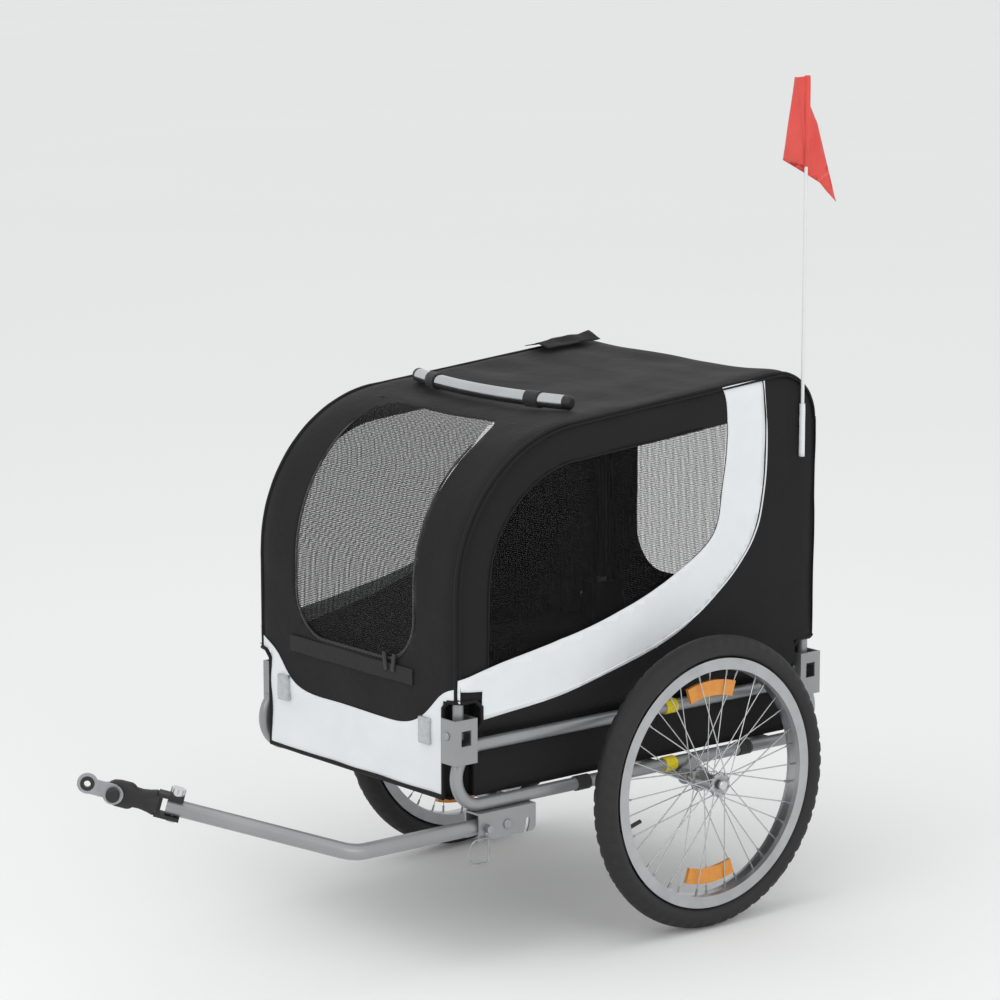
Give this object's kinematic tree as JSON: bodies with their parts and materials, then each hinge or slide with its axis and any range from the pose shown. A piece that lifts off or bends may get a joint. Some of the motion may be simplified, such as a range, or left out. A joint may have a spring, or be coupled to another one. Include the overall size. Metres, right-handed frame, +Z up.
{
  "type": "dog bike trailer",
  "caption": "Folding bicycle trailer for a dog: tube frame with spoked wheels, cloth and mesh cabin with a roll-up door, hinged tow bar with hitch coupler and safety flag.",
  "frame": {"origin": "on the ground, under the middle of the whole length and width", "axes": "+X forward along the tow bar, +Y to the left, +Z up"},
  "size_m": [1.3638, 0.73, 1.3919],
  "materials": {
    "frame_steel": "satin silver-grey enamel",
    "bright_steel": "zinc plated",
    "black_cloth": "coated black polyester",
    "mesh": "open black net",
    "white_cloth": "coated white polyester",
    "yellow_plastic": "soft, ribbed",
    "clear_lens": "prismatic lens",
    "flag_cloth": "thin bright nylon",
    "tyre": "black rubber",
    "rim_alloy": "satin alloy",
    "black_plastic": "matt",
    "white_plastic": "matt",
    "amber_plastic": "prismatic lens",
    "coupler_rubber": "moulded black rubber",
    "floor_wood": "plain board",
    "chrome": "bright"
  },
  "bodies": {
    "frame": {"left_loop": "frame_steel", "right_loop": "frame_steel", "cross_tubes": "frame_steel", "axle_tube": "frame_steel", "axle_brackets": "frame_steel", "left_fold_brackets": "frame_steel", "right_fold_brackets": "frame_steel", "tow_receiver": "frame_steel", "fold_pins": "bright_steel", "wheel_axles": "bright_steel", "tow_hinge_bolt": "bright_steel", "rail_bands": "yellow_plastic", "rail_straps": "black_cloth", "floor_cloth": "black_cloth", "left_side_panel": "black_cloth", "right_side_panel": "black_cloth", "front_and_roof_panel": "black_cloth", "rear_panel": "black_cloth", "roof_flap": "black_cloth", "side_window_mesh": "mesh", "rear_window_mesh": "mesh", "side_bands": "white_cloth", "front_band": "white_cloth", "flag_sleeve": "white_cloth", "floor_board": "floor_wood", "front_reflectors": "clear_lens"},
    "left_arch": {"left_arch": "frame_steel"},
    "right_arch": {"right_arch": "frame_steel"},
    "left_wheel": {"left_tyre": "tyre", "left_rim": "rim_alloy", "left_spokes": "bright_steel", "left_hub": "rim_alloy", "left_hub_bearings": "bright_steel", "left_wheel_reflectors": "amber_plastic", "left_valve": "black_plastic"},
    "right_wheel": {"right_tyre": "tyre", "right_rim": "rim_alloy", "right_spokes": "bright_steel", "right_hub": "rim_alloy", "right_hub_bearings": "bright_steel", "right_wheel_reflectors": "amber_plastic", "right_valve": "black_plastic"},
    "left_axle_button": {"left_axle_button": "black_plastic"},
    "right_axle_button": {"right_axle_button": "black_plastic"},
    "tow_bar": {"tow_bar": "frame_steel", "coupler_bolt": "bright_steel"},
    "lock_pin": {"lock_pin": "bright_steel"},
    "lock_bail": {"lock_bail": "bright_steel"},
    "coupler": {"coupler": "coupler_rubber"},
    "star_knob": {"star_knob": "chrome"},
    "hitch": {"hitch_plate": "bright_steel", "hitch_washer": "black_plastic"},
    "hitch_knob": {"hitch_knob": "black_plastic"},
    "front_door": {"front_door": "mesh", "door_zip": "black_plastic"},
    "roof_bar": {"roof_bar": "frame_steel", "roof_bar_plugs": "black_plastic", "roof_bar_straps": "black_cloth"},
    "flag": {"flag_pole": "white_plastic", "flag": "flag_cloth"}
  },
  "joints": [
    {"name": "left_wheel_spin", "type": "hinge", "parent": "frame", "child": "left_wheel", "pos_m": [-0.34687, 0.33, 0.247], "axis": [0, 1, 0], "continuous": true},
    {"name": "right_wheel_spin", "type": "hinge", "parent": "frame", "child": "right_wheel", "pos_m": [-0.34687, -0.33, 0.247], "axis": [0, 1, 0], "continuous": true},
    {"name": "left_axle_button_press", "type": "slide", "parent": "frame", "child": "left_axle_button", "axis": [0, -1, 0], "range_m": [0, 0.003], "stiffness_N_per_m": 800},
    {"name": "right_axle_button_press", "type": "slide", "parent": "frame", "child": "right_axle_button", "axis": [0, 1, 0], "range_m": [0, 0.003], "stiffness_N_per_m": 800},
    {"name": "left_fold", "type": "hinge", "parent": "frame", "child": "left_arch", "pos_m": [-0.25487, 0.25, 0.387], "axis": [1, 0, 0], "range_deg": [0, 64]},
    {"name": "right_fold", "type": "hinge", "parent": "frame", "child": "right_arch", "pos_m": [-0.25487, -0.25, 0.387], "axis": [1, 0, 0], "range_deg": [-84, 0]},
    {"name": "tow_fold", "type": "hinge", "parent": "frame", "child": "tow_bar", "pos_m": [0.04113, 0.258, 0.232], "axis": [0, 1, 0], "range_deg": [0, 180]},
    {"name": "lock_pin_pull", "type": "slide", "parent": "tow_bar", "child": "lock_pin", "axis": [0, 1, 0], "range_m": [0, 0.055]},
    {"name": "lock_bail_swing", "type": "hinge", "parent": "lock_pin", "child": "lock_bail", "pos_m": [0.08363, 0.2811, 0.232], "axis": [0, 1, 0], "range_deg": [-100, 75]},
    {"name": "coupler_yaw", "type": "hinge", "parent": "tow_bar", "child": "coupler", "pos_m": [0.55394, 0.08903, 0.3088], "axis": [-0.2115, 0.1618, 0.9639], "range_deg": [-40, 40]},
    {"name": "star_knob_turn", "type": "hinge", "parent": "tow_bar", "child": "star_knob", "pos_m": [0.55394, 0.08903, 0.3088], "axis": [-0.2115, 0.1618, 0.9639], "continuous": true},
    {"name": "hitch_tilt", "type": "hinge", "parent": "coupler", "child": "hitch", "pos_m": [0.62743, 0.0328, 0.33437], "axis": [0.6077, 0.7942, 0], "range_deg": [-60, 60]},
    {"name": "hitch_knob_turn", "type": "hinge", "parent": "coupler", "child": "hitch_knob", "pos_m": [0.62743, 0.0328, 0.33437], "axis": [0.6077, 0.7942, 0], "continuous": true},
    {"name": "door_lift", "type": "hinge", "parent": "frame", "child": "front_door", "pos_m": [-0.05325, 0, 0.8564], "axis": [0, -1, 0], "range_deg": [0, 100]},
    {"name": "roof_bar_lift", "type": "slide", "parent": "frame", "child": "roof_bar", "axis": [0, 0, 1], "range_m": [0, 0.12]},
    {"name": "flag_lift", "type": "slide", "parent": "frame", "child": "flag", "axis": [0, 0, 1], "range_m": [0, 0.095]}
  ],
  "couplings": [
    {"joint": "left_fold", "follows": "right_fold", "ratio": -0.76}
  ]
}
